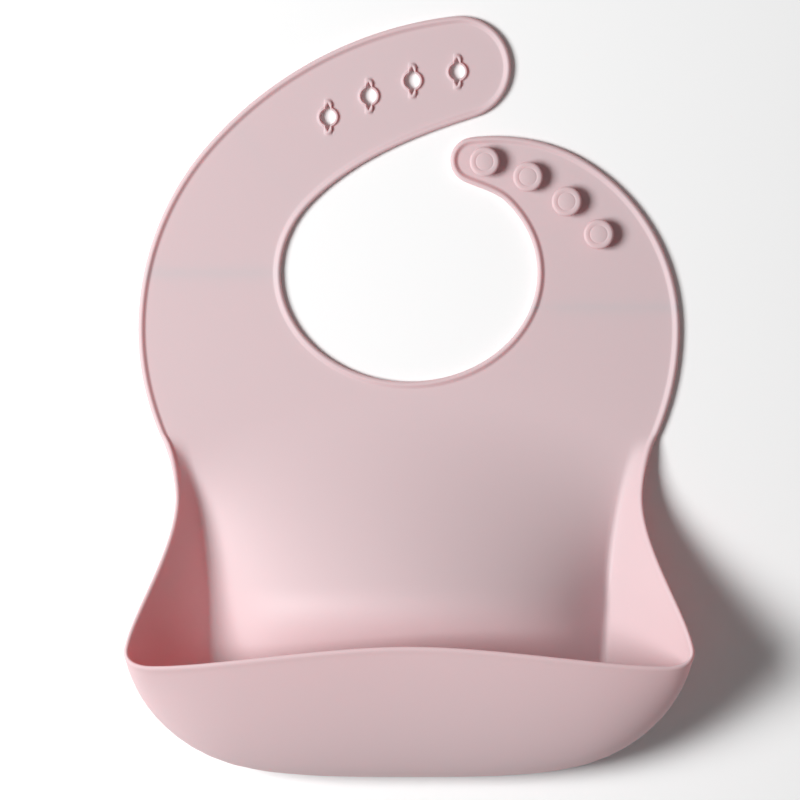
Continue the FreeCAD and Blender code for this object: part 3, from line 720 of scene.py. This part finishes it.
def region(centre):
    """Which piece a place in the plan belongs to."""
    x, y = centre[0] / MM, centre[1] / MM
    if y > STRAP_GAP_Y or (x < STRAP_GAP_X and y > SLOT_SPLIT_Y):
        split = ahead(SLOT_MID_POINT, SLOT_MID_HEADING_DEG, SLOT_MID_SPLIT)
        heading = math.radians(SLOT_MID_HEADING_DEG)
        along = (x - split[0]) * math.cos(heading) + (y - split[1]) * math.sin(heading)
        return "slotted_strap_end" if along > 0 else "slotted_strap_root"
    if x > 0 and y > STUD_SPLIT_Y:
        return "studded_strap"
    return "bib_body"


def pieces_of(bm):
    """Cuts the shell where its pieces meet and closes each of them."""
    split = ahead(SLOT_MID_POINT, SLOT_MID_HEADING_DEG, SLOT_MID_SPLIT)
    for point, heading, test in (
            ((0.0, SLOT_SPLIT_Y), 90.0, lambda c: c.x < 0 and abs(c.y) < ROOT_REACH * MM),
            ((0.0, STUD_SPLIT_Y), 90.0, lambda c: c.x > 0 and abs(c.y) < ROOT_REACH * MM),
            (split, SLOT_MID_HEADING_DEG, lambda c: c.x < 0 and c.y > STRAP_LOW_Y * MM)):
        cut(bm, point, heading, [face for face in bm.faces if test(face.calc_center_median())])
    made = {}
    for name in ("bib_body", "slotted_strap_root", "slotted_strap_end", "studded_strap"):
        part = bm.copy()
        others = [face for face in part.faces if region(face.calc_center_median()) != name]
        bmesh.ops.delete(part, geom=others, context="FACES")
        open_edges = [edge for edge in part.edges if edge.is_boundary]
        bmesh.ops.holes_fill(part, edges=open_edges, sides=0)
        bmesh.ops.triangulate(part, faces=[face for face in part.faces if len(face.verts) > 4])
        mesh = bpy.data.meshes.new(name)
        part.to_mesh(mesh)
        part.free()
        piece = new_object(name, mesh)
        only(piece)
        bpy.ops.object.shade_smooth_by_angle(angle=math.radians(SHEET_SMOOTH_DEG))
        made[name] = piece
    return made


def build_sheet():
    bm = single_layer()
    two_sided(bm)
    made = pieces_of(bm)
    bm.free()
    return made


# --- Studs

def stud_rings():
    """Radius and height of each ring of a stud, from its foot inside the strap to the middle of its cap."""
    cap_top = CAP_BOTTOM + CAP_HEIGHT
    rings = [(STEM_RADIUS + out, SHEET + up) for out, up in STEM_FOOT]
    rings += [(STEM_RADIUS, CAP_BOTTOM - CAP_ROUND), (STEM_RADIUS + CAP_ROUND, CAP_BOTTOM),
              (CAP_RADIUS - CAP_ROUND, CAP_BOTTOM), (CAP_RADIUS, CAP_BOTTOM + CAP_ROUND)]
    rings += [(CAP_RADIUS - inward, cap_top - down) for inward, down in CAP_EDGE]
    rings += [(radius, cap_top - depth) for radius, depth in CAP_RING]
    return rings


def stud_master():
    """One stud at the origin: a disc at its foot, extruded ring by ring and closed at the crown of the cap."""
    rings = stud_rings()
    bpy.ops.object.select_all(action="DESELECT")
    bpy.ops.mesh.primitive_circle_add(vertices=STUD_SIDES, radius=rings[0][0] * MM, fill_type="NGON")
    master = bpy.context.active_object
    bpy.ops.object.mode_set(mode="EDIT")
    bpy.ops.mesh.select_all(action="SELECT")
    bpy.ops.transform.translate(value=(0.0, 0.0, rings[0][1] * MM))
    for (last_radius, last_height), (radius, height) in zip(rings, rings[1:]):
        rise = (0.0, 0.0, (height - last_height) * MM)
        bpy.ops.mesh.extrude_region_move(TRANSFORM_OT_translate={"value": rise})
        share = radius / last_radius
        bpy.ops.transform.resize(value=(share, share, 1.0), center_override=(0.0, 0.0, height * MM))
    bpy.ops.mesh.extrude_region_move(TRANSFORM_OT_translate={"value": (0.0, 0.0, CAP_CROWN * MM)})
    bpy.ops.mesh.merge(type="CENTER")
    bpy.ops.mesh.select_all(action="SELECT")
    bpy.ops.mesh.normals_make_consistent(inside=False)
    bpy.ops.object.mode_set(mode="OBJECT")
    bpy.ops.object.shade_smooth_by_angle(angle=math.radians(STUD_SMOOTH_DEG))
    return master


def build_studs():
    """Round caps on short stems, each cap with a shallow ring in its top."""
    master = stud_master()
    studs = []
    for node in STUD_NODES:
        only(master)
        bpy.ops.object.duplicate()
        piece = bpy.context.active_object
        piece.name = node.replace("stud", "button")
        x, y = node_middle(node)
        piece.location = (x * MM, y * MM, 0.0)
        bpy.ops.object.transform_apply(location=True, rotation=False, scale=False)
        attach(piece, "stud_strap_body")
        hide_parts(node)
        studs.append(piece)
    bpy.data.objects.remove(master)
    return studs


# --- Finish

def silicone():
    material = bpy.data.materials.new("dusty_pink_silicone")
    material.use_nodes = True
    tree = material.node_tree
    tree.nodes.clear()
    make = tree.nodes.new
    link = tree.links.new
    output = make("ShaderNodeOutputMaterial")
    shader = make("ShaderNodeBsdfPrincipled")
    through = make("ShaderNodeBsdfTranslucent")
    mixed = make("ShaderNodeMixShader")
    coords = make("ShaderNodeTexCoord")
    cloud = make("ShaderNodeTexNoise")
    tint = make("ShaderNodeMix")
    tint.data_type = "RGBA"
    grain = make("ShaderNodeTexNoise")
    bump = make("ShaderNodeBump")
    rough = make("ShaderNodeMapRange")
    cloud.inputs["Scale"].default_value = 14.0
    grain.inputs["Scale"].default_value = 2600.0
    grain.inputs["Detail"].default_value = 2.0
    tint.inputs["A"].default_value = (0.815, 0.725, 0.750, 1.0)
    tint.inputs["B"].default_value = (0.805, 0.710, 0.738, 1.0)
    rough.inputs["To Min"].default_value = 0.50
    rough.inputs["To Max"].default_value = 0.62
    bump.inputs["Strength"].default_value = 0.10
    bump.inputs["Distance"].default_value = 0.0001
    shader.inputs["Specular IOR Level"].default_value = 0.4
    shader.inputs["Sheen Weight"].default_value = 0.08
    shader.inputs["Sheen Roughness"].default_value = 0.5
    through.inputs["Color"].default_value = (1.0, 0.06, 0.04, 1.0)
    mixed.inputs["Fac"].default_value = 0.3
    link(coords.outputs["Object"], cloud.inputs["Vector"])
    link(coords.outputs["Object"], grain.inputs["Vector"])
    link(cloud.outputs["Fac"], tint.inputs["Factor"])
    link(cloud.outputs["Fac"], rough.inputs["Value"])
    link(rough.outputs["Result"], shader.inputs["Roughness"])
    link(tint.outputs["Result"], shader.inputs["Base Color"])
    link(grain.outputs["Fac"], bump.inputs["Height"])
    link(bump.outputs["Normal"], shader.inputs["Normal"])
    link(shader.outputs["BSDF"], mixed.inputs[1])
    link(through.outputs["BSDF"], mixed.inputs[2])
    link(mixed.outputs["Shader"], output.inputs["Surface"])
    return material


def paint(piece, material):
    piece.data.materials.clear()
    piece.data.materials.append(material)


# --- Studio

def studio():
    bpy.ops.object.select_all(action="DESELECT")
    bpy.ops.mesh.primitive_plane_add(size=FLOOR_SIZE, location=(0.0, 0.0, -FLOOR_DROP))
    floor = bpy.context.active_object
    floor.name = "studio_floor"
    material = bpy.data.materials.new("white_floor")
    material.use_nodes = True
    shader = material.node_tree.nodes["Principled BSDF"]
    shader.inputs["Base Color"].default_value = (0.93, 0.93, 0.93, 1.0)
    shader.inputs["Roughness"].default_value = 0.9
    paint(floor, material)

    world = bpy.data.worlds.new("studio")
    bpy.context.scene.world = world
    world.use_nodes = True
    background = world.node_tree.nodes["Background"]
    background.inputs["Color"].default_value = (1.0, 1.0, 1.0, 1.0)
    background.inputs["Strength"].default_value = WORLD_LIGHT

    key = bpy.data.lights.new("key", "AREA")
    key.shape = "SQUARE"
    key.size = KEY_SIZE
    key.energy = KEY_WATTS
    lamp = new_object("key", key)
    lamp.location = KEY_PLACE
    lamp.rotation_euler = (Vector(KEY_AIM) - Vector(KEY_PLACE)).to_track_quat("-Z", "Y").to_euler()
    bpy.context.scene.view_settings.view_transform = "Standard"

    lens = bpy.data.cameras.new("camera")
    lens.sensor_width = SENSOR_WIDTH
    lens.lens = SENSOR_WIDTH * VIEW_DISTANCE / VIEW_WIDTH
    lens.clip_end = VIEW_FAR
    camera = new_object("camera", lens)
    camera.location = Vector(VIEW_MIDDLE) + Vector((0.0, 0.0, VIEW_DISTANCE))
    bpy.context.scene.camera = camera


def metres(point):
    return tuple(value * MM for value in point)


def mid_band(distance):
    """A place along the slotted strap, from the middle of its second bend."""
    return (*ahead(SLOT_MID_POINT, SLOT_MID_HEADING_DEG, distance), 0.0)


studio()
sheet = build_sheet()
studs = build_studs()
pink = silicone()
for piece in list(sheet.values()) + studs:
    paint(piece, pink)

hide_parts("yoke_panel", "neckline_bead", "side_bead_left", "side_bead_right",
            "torso_panel", "side_wall_left", "side_wall_right", "side_wall_bead_left", "side_wall_bead_right",
            "side_fold_left", "side_fold_right", "side_fold_bead_left", "side_fold_bead_right",
            "pocket_base", "front_fold", "pocket_front", "lip_bead")
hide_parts("slot_strap_root_band", "slot_strap_shoulder",
            "slot_strap_shoulder_bead")
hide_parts("slot_strap_mid_band", "slot_strap_end", "slot_strap_end_bead",
            *SLOT_NODES)
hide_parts("stud_strap_root_band", "stud_strap", "stud_strap_bead")


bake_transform(sheet["bib_body"], "root", "pocket_mouth",
         start=metres(POCKET_BEND_START), end=metres(POCKET_BEND_END))
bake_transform(sheet["slotted_strap_root"], "root", "slot_strap_lower",
         start=metres((0.0, SLOT_ROOT_Y[0], 0.0)), end=metres((0.0, SLOT_ROOT_Y[1], 0.0)))
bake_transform(sheet["slotted_strap_end"], "slot_strap_lower", "slot_strap_upper",
         start=metres(mid_band(-SLOT_MID_HALF_BAND)), end=metres(mid_band(SLOT_MID_HALF_BAND)))
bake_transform(sheet["studded_strap"], "root", "stud_strap_body",
         start=metres((0.0, STUD_ROOT_Y[0], 0.0)), end=metres((0.0, STUD_ROOT_Y[1], 0.0)))
